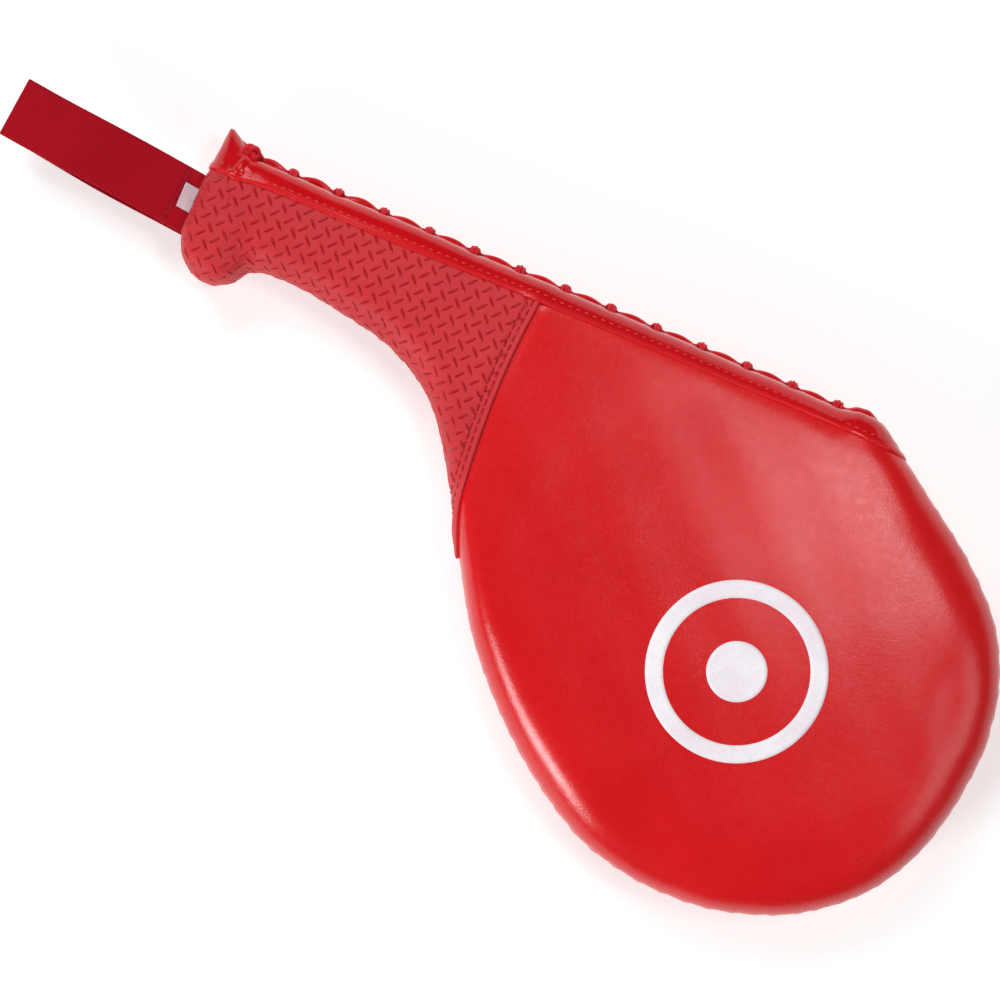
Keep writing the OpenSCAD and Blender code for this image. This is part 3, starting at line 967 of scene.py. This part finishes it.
HEM_STITCH = 2.2            # how far past the hem its stitching runs
SEAM_STITCHES = (2.1, 4.3)  # how far before the seam each of its rows runs
OVERLAP = 5                 # how far a panel runs on below the one that is sewn over it
HEM_THREAD = {"pitch": 3.5, "length": 1.5, "thick": 0.42, "sunk": 0.22}
SEAM_THREAD = {"pitch": 3.9, "length": 2.8, "thick": 0.72, "sunk": 0.3}


def lifted(half, lift, thinned=True):
    """The half's surface, moved outwards by lift; a sheet on top thins out towards the seam."""
    if thinned:
        lift = lift * smooth(half.rise / 2 + 0.3)
    return half.xyz + half.normals() * lift[:, :, None]


def blade_sheet(half):
    sunk = 0.35 * bell(half.seam - 0.5, 2.6) + 0.35 * bell(half.hem + 0.5, 2.6)
    return lifted(half, -sunk, thinned=False)


def grip_sheet(half):
    bead = 0.6 * bell(half.seam, 5) + 0.6 * bell(half.seam + 0.9, 0.9)
    dents = 0.55 * stitch_dents(-half.seam, SEAM_STITCHES) + 0.3 * bell(half.hem + 0.5, 2.6)
    return lifted(half, 0.15 + bead - dents)


def facing_sheet(half):
    over_seam = 0.75 * bell(half.seam + 1, 5) * smooth((10 - half.hem) / 7)
    bead = 0.25 * bell(half.hem, 3) + 0.3 * bell(half.hem - 0.9, 0.9)
    lift = 0.6 + bead + over_seam - 0.3 * stitch_dents(half.hem, (HEM_STITCH,))
    return lifted(half, lift - 0.75 * smooth((half.x - 12) / 20))


# Where each panel gets its painted highlight: a lighter colour on the folds and rims that catch the light
def blade_edge_highlight(seam, hem, rise):
    return 0.5 * bell(rise - 1.5, 2.5)


def grip_edge_highlight(seam, hem, rise):
    return 0.6 * bell(seam, 1.0)


def facing_edge_highlight(seam, hem, rise):
    return 0.9 * bell(hem, 0.8) + 0.4 * bell(rise - 1, 2)


def blade_panel(half, end):
    bm = panel_mesh(half, blade_sheet(half))
    trim(bm, "seam", -OVERLAP, 1)
    trim(bm, "hem", OVERLAP, -1)
    return finish_panel(bm, f"blade_panel_{end}", LEATHER, blade_edge_highlight, half.side)


def grip_panel(half, end):
    bm = panel_mesh(half, grip_sheet(half))
    trim(bm, "hem", OVERLAP, -1)
    fold_edge(bm, trim(bm, "seam", 0, -1), 0.55, 1.0)
    return finish_panel(bm, f"grip_panel_{end}", GRIP, grip_edge_highlight, half.side)


def facing_panel(half, end):
    bm = panel_mesh(half, facing_sheet(half))
    fold_edge(bm, trim(bm, "hem", 0, 1), 0.6, 1.2)
    return finish_panel(bm, f"facing_panel_{end}", VINYL, facing_edge_highlight, half.side)


# ---------------- tread of the grip

class Cloth:
    """Finds places on a sheet from where they are on the cloth laid flat."""

    def __init__(self, half, sheet):
        self.xyz = sheet.reshape(-1, 3)
        self.normal = half.normals(sheet).reshape(-1, 3)
        self.flat = half.fabric.reshape(-1, 2)
        self.plan = half.plan.reshape(-1, 2)
        quads = half.quads()
        self.faces = np.concatenate([quads[:, [0, 1, 2]], quads[:, [0, 2, 3]]])
        inside = np.abs(self.flat[self.faces][:, :, 0].mean(1) + 195) < 90
        self.faces = self.faces[inside]
        flat3 = np.concatenate([self.flat, np.zeros((len(self.flat), 1))], axis=1)
        self.tree = BVHTree.FromPolygons(flat3.tolist(), self.faces.tolist())

    def find(self, places):
        """Points, normals and plan points for places on the flat cloth; None if one is off it."""
        down = Vector((0, 0, -1))
        hits = [self.tree.ray_cast(Vector((x, y, 5)), down)[2] for x, y in places]
        if None in hits:
            return None
        corners = self.faces[hits]
        a, b, c = (self.flat[corners[:, k]] for k in range(3))
        u, v, w = b - a, c - a, places - a
        det = u[:, 0] * v[:, 1] - u[:, 1] * v[:, 0]
        s = (w[:, 0] * v[:, 1] - w[:, 1] * v[:, 0]) / det
        t = (u[:, 0] * w[:, 1] - u[:, 1] * w[:, 0]) / det
        weights = np.stack([1 - s - t, s, t], axis=1)[:, :, None]
        points, normals, plan = ((weights * values[corners]).sum(axis=1)
                                 for values in (self.xyz, self.normal, self.plan))
        return points, unit(normals), plan


TREAD_AT = np.array([-257.3, 88.9])
TREAD_ALONG = np.array([6.45, -0.65])
TREAD_ACROSS = np.array([0.62, -7.0])
# For both families of ribs: the shift in the cell, the direction in degrees, and the length
TREAD_RIBS = [(0.0, 47.3, 5.0), (0.5, -47.6, 5.3)]
RIB_HALF_WIDTH = 0.56
RIB_HEIGHT = 0.55


RIB_S, RIB_C = np.meshgrid(np.linspace(-1, 1, 11), np.linspace(-1, 1, 9), indexing="ij")
RIB_WIDTHS = RIB_HALF_WIDTH * np.sqrt(np.maximum(1 - np.abs(RIB_S) ** 2.6, 0.004))
RIB_RELIEF = (1 - RIB_C ** 2) ** 1.5 * (1 - RIB_S ** 4)


def rib(cloth, builder, at, heading, length):
    """One raised, lens-shaped rib on the cloth, which fades where the seam holds it down."""
    along = np.array([math.cos(heading), math.sin(heading)])
    across = np.array([-along[1], along[0]])
    places = (at + np.multiply.outer(RIB_S * length / 2, along)
              + np.multiply.outer(RIB_C * RIB_WIDTHS, across))
    found = cloth.find(places.reshape(-1, 2))
    if found is None:
        return
    points, normals, plan = found
    f, g = past_seam(*plan.T), past_hem(*plan.T)
    if f.max() > -0.9 or g.max() > 4:
        return
    relief = RIB_RELIEF.ravel() * (0.35 + 0.65 * smooth((-f - 1.5) / 4.5))
    relief = relief * (0.25 + 0.75 * smooth(np.abs(normals[:, 2]) / 0.6))
    points = points + normals * (relief * RIB_HEIGHT - 0.02)[:, None]
    builder.grid(points.reshape(RIB_S.shape + (3,)), rib=relief)


def tread(half, end):
    cloth = Cloth(half, grip_sheet(half))
    builder = Builder()
    for i in range(-8, 30):
        for j in range(-12, 20):
            for shift, degrees, length in TREAD_RIBS:
                at = TREAD_AT + TREAD_ALONG * (i + shift) + TREAD_ACROSS * (j + shift)
                if -300 < at[0] < -105 and -60 < at[1] < 125:
                    rib(cloth, builder, at, math.radians(degrees), length)
    if half.side < 0:
        builder.faces = [face[::-1] for face in builder.faces]
    return builder.build(f"grip_tread_{end}", GRIP)


# ---------------- stitches

def level_line(half, sheet, value, axis):
    """The line on a sheet where value is 0, found along each row (1) or column (0)."""
    normal = half.normals(sheet)
    if axis == 0:
        value, sheet, normal = value.T, sheet.transpose(1, 0, 2), normal.transpose(1, 0, 2)
    points, normals = [], []
    for k in range(len(value)):
        cross = np.nonzero(value[k][:-1] * value[k][1:] < 0)[0]
        if len(cross):
            i = cross[0] if axis == 0 else cross[-1]
            t = value[k][i] / (value[k][i] - value[k][i + 1])
            points.append(sheet[k][i] * (1 - t) + sheet[k][i + 1] * t)
            normals.append(unit(normal[k][i] * (1 - t) + normal[k][i + 1] * t))
    return np.array(points), np.array(normals)


def stitches(builder, points, normals, pitch, length, thick, sunk):
    """A row of thread stitches along a line on a sheet; both ends of each dip into the cloth."""
    run = run_along(points)
    start = pitch / 2
    while start + length < run[-1]:
        at = start + length * np.linspace(0, 1, 7)
        p = np.stack([np.interp(at, run, points[:, k]) for k in range(3)], axis=1)
        n = unit(np.stack([np.interp(at, run, normals[:, k]) for k in range(3)], axis=1))
        arch = np.sin(np.linspace(0, math.pi, 7)) ** 0.5
        path = p + n * (arch * 0.5 - sunk)[:, None]
        tube(builder, path, thick / 2, sides=7, start=n[0])
        start += pitch


def hem_stitches(half, end):
    builder = Builder()
    points, normals = level_line(half, facing_sheet(half), half.hem - HEM_STITCH, 1)
    inside = (points[:, 0] > BUTT_X + 3) & (points[:, 0] < 30)
    stitches(builder, points[inside], normals[inside], **HEM_THREAD)
    return builder.build(f"facing_stitching_{end}", THREAD)


def seam_stitches(half, end):
    builder = Builder()
    for row in SEAM_STITCHES:
        points, normals = level_line(half, grip_sheet(half), half.seam + row, 0)
        inside = points[:, 1] < 96.3
        stitches(builder, points[inside], normals[inside], **SEAM_THREAD)
    return builder.build(f"seam_stitching_{end}", GRIP_THREAD)


# ---------------- make the covers

for side, end in ((1, "front"), (-1, "back")):
    half = halves[side]
    blade = blade_panel(half, end)
    grip = grip_panel(half, end)
    facing = facing_panel(half, end)
    ribs = tread(half, end)
    hem = hem_stitches(half, end)
    seam = seam_stitches(half, end)
    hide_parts(f"blade_cover_{end}", f"blade_foam_{end}")
    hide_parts(f"grip_cover_{end}", f"grip_foam_{end}")
    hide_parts(f"lace_facing_{end}")
    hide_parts(f"facing_stitches_{end}")
    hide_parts(f"seam_stitches_{end}")
    for piece, slot in ((blade, "cover"), (grip, "grip"), (facing, "facing"), (ribs, "grip"),
                        (hem, "thread"), (seam, "thread")):
        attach(piece, "paddle")


# ---------------- printed target

PRINT_BAND = 7
INK_LIFT = 0.07


def printed_target():
    """Concentric white rings on the striking face, as ink that follows the surface."""
    centre = (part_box("printed_target")[0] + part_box("printed_target")[1]) / 2 / MM
    outer = (high("printed_target").x - low("printed_target").x) / 2
    half = halves[1]
    tree = BVHTree.FromPolygons(blade_sheet(half).reshape(-1, 3).tolist(), half.quads().tolist())
    builder = Builder()
    for inside, outside in ((0.0, outer / 3), (outer - PRINT_BAND, outer)):
        steps = np.linspace(inside, outside, max(4, round((outside - inside) / 1.2)))
        rings = [(radius, INK_LIFT) for radius in steps] + [(outside + 0.05, -0.05)]
        if inside > 0:
            rings.insert(0, (inside - 0.05, -0.05))
        rows = []
        for radius, lift in rings:
            row = []
            for a in np.linspace(0, 2 * math.pi, 160, endpoint=False):
                x, y = centre.x + radius * math.cos(a), centre.y + radius * math.sin(a)
                hit = tree.ray_cast(Vector((x, y, 80)), Vector((0, 0, -1)))[0]
                row.append((x, y, hit.z + lift))
            rows.append(row)
        builder.grid(np.array(rows)[:, ::-1], closed=True)
    return builder.build("printed_rings", INK, merge=0.001)


rings = printed_target()
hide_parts("printed_target")
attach(rings, "paddle")


# ---------------- lacing

KNOT_Y = LACE_Y + 0.9
CORD_DEPTH = 1.9


def lacing_cord():
    """The cord in the slit between the two lips, pulled a little to each side between its knots."""
    x = np.arange(KNOT_X[0] - 1, LACE_LAST_X + 4, 1.0)
    swing = np.sin(math.pi * (x - KNOT_X[0]) / LACE_PITCH)
    loose = smooth((-236 - x) / 8)
    y = KNOT_Y - CORD_DEPTH * (1 - 0.5 * loose) * swing ** 2
    z = MID + 0.25 * swing * np.cos(x / 9) + 0.9 * loose * np.abs(swing)
    builder = Builder()
    tube(builder, np.stack([x, y, z], axis=1), LACE_D / 2, sides=10)
    return builder.build("lacing_cord", CORD)


def knot(builder, x, seed):
    """Three strands over the edge from the hole in one lip to the other's, and a cross wrap."""
    for k, shift in enumerate((-1.25, 0.0, 1.25)):
        t = np.linspace(-1, 1, 17)
        lean = 0.8 * math.sin(seed + k)
        reach = 3.9 + 0.35 * math.cos(seed * 2 + k)
        y = KNOT_Y - 1.7 + (3.25 - 0.4 * abs(k - 1)) * np.cos(t * math.pi / 2) ** 0.75
        z = MID + reach * np.sin(t * math.pi / 2)
        px = x + shift * (1 - 0.3 * np.abs(t)) + lean * t
        tube(builder, np.stack([px, y, z], axis=1), 0.7, sides=9, start=(1, 0, 0))
    a = np.linspace(0, 2 * math.pi, 21)
    px = x + 1.75 * np.cos(a)
    y = KNOT_Y + 0.55 + 1.0 * np.sin(a) * math.cos(seed)
    z = MID + 1.9 * np.sin(a)
    tube(builder, np.stack([px, y, z], axis=1), 0.58, sides=8, start=(0, 1, 0))


def lacing_knots():
    builder = Builder()
    for k, x in enumerate(KNOT_X[1:]):
        knot(builder, x, 0.9 * k + 0.4)
    return builder.build("lacing_knots", CORD)


def start_knot():
    """The bulky overhand knot that the lacing starts from, with its short tails."""
    builder = Builder()
    centre = np.array([KNOT_X[0] + 1.9, KNOT_Y + 0.3, MID + 8.5])
    a = np.linspace(0, 2 * math.pi, 96)
    radius = 1.75 + 0.95 * np.cos(3 * a)
    x = radius * np.cos(2 * a + 0.4)
    y = radius * np.sin(2 * a + 0.4)
    z = 1.5 * np.sin(3 * a)
    tube(builder, centre + np.stack([x * 1.1, y * 1.3, z], axis=1), 0.95, sides=10)
    t = np.linspace(0, 1, 16)
    bezier = np.stack([(1 - t) ** 3, 3 * t * (1 - t) ** 2, 3 * t * t * (1 - t), t ** 3], axis=1)
    tails = [
        [(-2.2, 1.0, -0.6), (-0.6, 0.6, 2.4), (0.9, -0.4, 2.4), (2.2, -1.2, -0.6)],
        [(0.6, -1.8, 0.9), (-1.2, -3.4, 2.0), (-2.9, -4.3, 1.9), (-4.3, -4.9, 1.4)],
        [(-1.4, 1.2, 1.0), (-3.1, 1.6, 1.9), (-3.7, 0.2, 2.1), (-3.4, -1.6, 1.8)],
        [(1.4, 0.6, -0.8), (2.0, 1.2, -3.0), (2.2, 1.0, -6.0), (2.0, 0.4, -8.8)],
        [(0.2, 1.6, 0.2), (2.8, 2.2, 0.8), (3.0, 1.2, -3.6), (4.4, 0.2, -8.4)],
        [(-1.8, -1.2, 1.0), (-0.4, -3.0, 1.8), (1.6, -2.4, 1.8), (2.6, -0.2, 0.8)],
    ]
    for points in tails:
        tube(builder, centre + bezier @ np.array(points), 0.82, sides=10)
    return builder.build("lacing_start_knot", CORD)


for piece, node in ((lacing_cord(), "lace_cord"), (lacing_knots(), "lace_knots"),
                    (start_knot(), "lace_start_knot")):
    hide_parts(node)
    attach(piece, "paddle")


# ---------------- wrist loop

STRAP_W = 25
PLY_T = 1.5
STRAP_TILT = math.radians(5.7)
STRAP_Y = 78.6
PLY_Z = 0.9
SWING_S = 2.4
ARM_S = 11.45
TIP_S = 80.25
BEND_S = (ARM_S + TIP_S) / 2
ARM_RISE = (TIP_S - ARM_S) / 2 * math.tan(math.radians(6))
LOWER_SHIFT = -0.8
OUT = np.array([-math.cos(STRAP_TILT), math.sin(STRAP_TILT), 0])
WIDE = np.array([math.sin(STRAP_TILT), math.cos(STRAP_TILT), 0])
UP = np.array([0, 0, 1.0])
STRAP_ROOT = np.array([BUTT_X, STRAP_Y, MID])


def strap_point(s, w, h):
    """Points of the loop: s out from the butt, w across the elastic, h above its middle plane."""
    return (STRAP_ROOT + np.multiply.outer(s, OUT) + np.multiply.outer(w, WIDE)
            + np.multiply.outer(h, UP))


def ply_height(s):
    """Height of a ply's middle: flat along the sewn root, then one soft arch to the tip."""
    t = np.clip((s - ARM_S + 1.5) / (TIP_S - ARM_S + 1.5), 0, 1)
    return PLY_Z + ARM_RISE * np.sin(math.pi * t) ** 1.3


RIBBON_EDGE = [(STRAP_W / 2 - 0.35, 0.93), (STRAP_W / 2 - 0.08, 0.6), (STRAP_W / 2, 0.0)]


def ribbon_ring():
    """The elastic's section as (w, t): w across it in millimetres, t from -1 to 1 through it."""
    top = [(w, 1.0) for w in np.linspace(0.8 - STRAP_W / 2, STRAP_W / 2 - 0.8, 11)] + RIBBON_EDGE
    bottom = [(w, -t) for w, t in reversed(top[:-1])]
    left = [(-w, -t) for w, t in RIBBON_EDGE[:2]] + [(-STRAP_W / 2, 0.0)]
    return top + bottom + left + [(-w, t) for w, t in reversed(RIBBON_EDGE[:2])]


def ply_rows(sign):
    """The upper (1) or lower (-1) ply, from inside the butt to the fold at the tip."""
    s = np.arange(-12, TIP_S + 0.01, 1.0)
    path = [(a, sign * ply_height(a)) for a in s]
    end_h = path[-1][1]
    for angle in np.radians(np.linspace(12, 96, 8)):
        path.append((TIP_S + abs(end_h) * 1.25 * math.sin(angle), end_h * math.cos(angle)))
    path = np.array(path)
    tangent = unit(np.gradient(path, axis=0))
    normal = np.stack([-tangent[:, 1], tangent[:, 0]], axis=1)
    rows, uvs = [], []
    for (a, h), n in zip(path, normal):
        half_t = PLY_T / 2 * (1 + 0.04 * math.sin(a / 5.1))
        shift = 0.18 * math.sin(a / 13.0 + 1 - sign)
        if sign < 0:
            shift += LOWER_SHIFT * float(smooth((TIP_S + 2 - a) / 50))
        rows.append([strap_point(a + n[0] * t * half_t, w + shift, h + n[1] * t * half_t)
                     for w, t in ribbon_ring()])
        uvs.append([(a, w + (0.5 if t < 0 else 0)) for w, t in ribbon_ring()])
    return path[:, 0], np.array(rows), np.array(uvs)


def ply_piece(name, ply, from_s, to_s):
    """A stretch of a ply. Two stretches that meet share their last row of points."""
    s, rows, uvs = ply
    first = int(np.argmin(np.abs(s - from_s)))
    last = int(np.argmin(np.abs(s - to_s))) if to_s < TIP_S else len(s) - 1
    builder = Builder()
    builder.grid(rows[first:last + 1, ::-1], uvs[first:last + 1, ::-1], closed=True)
    return builder.build(name, WEBBING)


def tack_stitches():
    """The bar of stitches that holds the two plies together just outside the butt."""
    builder = Builder()
    t = np.linspace(0, 1, 6)
    height = PLY_Z + PLY_T / 2 - 0.12 + 0.3 * np.sin(math.pi * t)
    for s in (7.4, 9.0):
        for w in np.arange(-10.6, 10.7, 2.65):
            for sign in (1, -1):
                tube(builder, strap_point(s, w + 1.8 * t, sign * height), 0.26, sides=6)
    return builder.build("loop_tack_stitching", DARK_THREAD)


def care_label():
    """A blank satin label, caught in the butt's seam, that curls up a little at its free end."""
    builder = Builder()
    width = high("care_label").y - low("care_label").y
    a, b = np.meshgrid(np.linspace(0, 1, 13), np.linspace(-0.5, 0.5, 11), indexing="ij")
    s = (7.0 + 1.1 * b) * a - 0.6
    curl = 0.55 * a ** 2 + 0.35 * a * np.cos(b * 3) + 0.05 * np.sin(9 * a + 3 * b)
    h = PLY_Z + PLY_T / 2 + 0.12 + curl
    top, bottom = (strap_point(s, 1.2 + b * width, h + lift) for lift in (0.12, -0.12))
    uvs = np.stack([s, b * width], axis=-1)
    rows = np.concatenate([top, bottom[::-1], top[:1]])
    uvs = np.concatenate([uvs, uvs[::-1], uvs[:1]])
    builder.grid(rows[:, ::-1], uvs[:, ::-1])
    return builder.build("blank_label", LABEL)


def bend_between(piece, a, b, middle, half_length):
    ends = [tuple(strap_point(s, 0, 0) * MM) for s in (middle - half_length, middle + half_length)]
    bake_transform(piece, a, b, *ends)


ROOT_END, JOIN_S = 7.0, 28.0
for sign, word in ((1, "upper"), (-1, "lower")):
    ply = ply_rows(sign)
    root = ply_piece(f"loop_root_{word}", ply, -12, ROOT_END)
    rising = ply_piece(f"loop_{word}_rise", ply, ROOT_END, JOIN_S)
    falling = ply_piece(f"loop_{word}_fall", ply, JOIN_S, TIP_S)
    bend_between(root, "paddle", "strap_base", SWING_S, 2.2)
    bend_between(rising, "strap_base", f"{word}_inner_ply", ARM_S, 2)
    bend_between(falling, f"{word}_inner_ply", f"{word}_outer_ply", BEND_S, 6)
    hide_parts("strap_anchor", "strap_root")
    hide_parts(f"strap_{word}_inner")
    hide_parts(f"strap_{word}_outer")

tack = tack_stitches()
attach(tack, "strap_base")
label = care_label()
bend_between(label, "paddle", "strap_base", SWING_S, 2.2)
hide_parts("care_label")


# ---------------- floor, light and camera

def floor():
    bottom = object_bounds()[0].z
    mesh = bpy.data.meshes.new("floor")
    mesh.from_pydata([(-4, -4, 0), (4, -4, 0), (4, 4, 0), (-4, 4, 0)], [], [(0, 1, 2, 3)])
    obj = linked("floor", mesh)
    obj.location.z = bottom - 0.0002
    p = Paint("pale_floor", Roughness=0.9, Specular_IOR_Level=0.1, Emission_Color=(1, 1, 1, 1),
              Emission_Strength=0.5)
    cloud = p.noise(p.place(), 3, 2)
    p.set(Base_Color=p.mix(cloud, (0.62, 0.62, 0.62, 1), (0.65, 0.65, 0.65, 1)))
    obj.data.materials.append(p.material)
    obj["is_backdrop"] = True


VIEW_TURN = math.radians(23)
VIEW_CENTRE = Vector((-111.8, 17.7, 20)) * MM
VIEW_WIDTH = 0.4
LENS = 100
SENSOR = 36
IMAGE_RIGHT = Vector((math.cos(VIEW_TURN), math.sin(VIEW_TURN), 0))
IMAGE_UP = Vector((-math.sin(VIEW_TURN), math.cos(VIEW_TURN), 0))


def camera():
    data = bpy.data.cameras.new("camera")
    data.lens = LENS
    data.sensor_width = SENSOR
    data.clip_start, data.clip_end = 0.01, 20
    obj = linked("camera", data)
    obj.location = VIEW_CENTRE + Vector((0, 0, VIEW_WIDTH * LENS / SENSOR))
    obj.rotation_euler = (0, 0, VIEW_TURN)
    bpy.context.scene.camera = obj


def softbox(name, right, up, height, size, power):
    """A square light that hangs so far to the right of, up from and above the paddle."""
    data = bpy.data.lights.new(name, "AREA")
    data.shape = "SQUARE"
    data.size = size
    data.energy = power
    obj = linked(name, data)
    obj.visible_camera = False
    obj.location = VIEW_CENTRE + IMAGE_RIGHT * right + IMAGE_UP * up + Vector((0, 0, height))
    obj.rotation_mode = "QUATERNION"
    obj.rotation_quaternion = (VIEW_CENTRE - obj.location).to_track_quat("-Z", "Y")


def lights():
    softbox("key_light", -0.38, 1.08, 1.2, 0.8, 13.6)
    softbox("sheen_light", 0.44, 0.13, 1.25, 0.28, 3.3)
    softbox("edge_light", -0.86, -0.73, 0.6, 0.4, 10)
    softbox("right_light", 1.0, -0.45, 1.0, 0.6, 2.6)
    world = bpy.data.worlds.new("studio")
    world.use_nodes = True
    tree = world.node_tree
    seen = tree.nodes.new("ShaderNodeBackground")
    seen.inputs["Color"].default_value = (0.86, 0.86, 0.86, 1)
    lit = tree.nodes["Background"]
    lit.inputs["Color"].default_value = (1, 1, 1, 1)
    lit.inputs["Strength"].default_value = 0.15
    path, mix = tree.nodes.new("ShaderNodeLightPath"), tree.nodes.new("ShaderNodeMixShader")
    tree.links.new(path.outputs["Is Camera Ray"], mix.inputs["Fac"])
    tree.links.new(lit.outputs["Background"], mix.inputs[1])
    tree.links.new(seen.outputs["Background"], mix.inputs[2])
    tree.links.new(mix.outputs["Shader"], tree.nodes["World Output"].inputs["Surface"])
    bpy.context.scene.world = world


floor()
camera()
lights()
bpy.context.scene.view_settings.view_transform = "Standard"
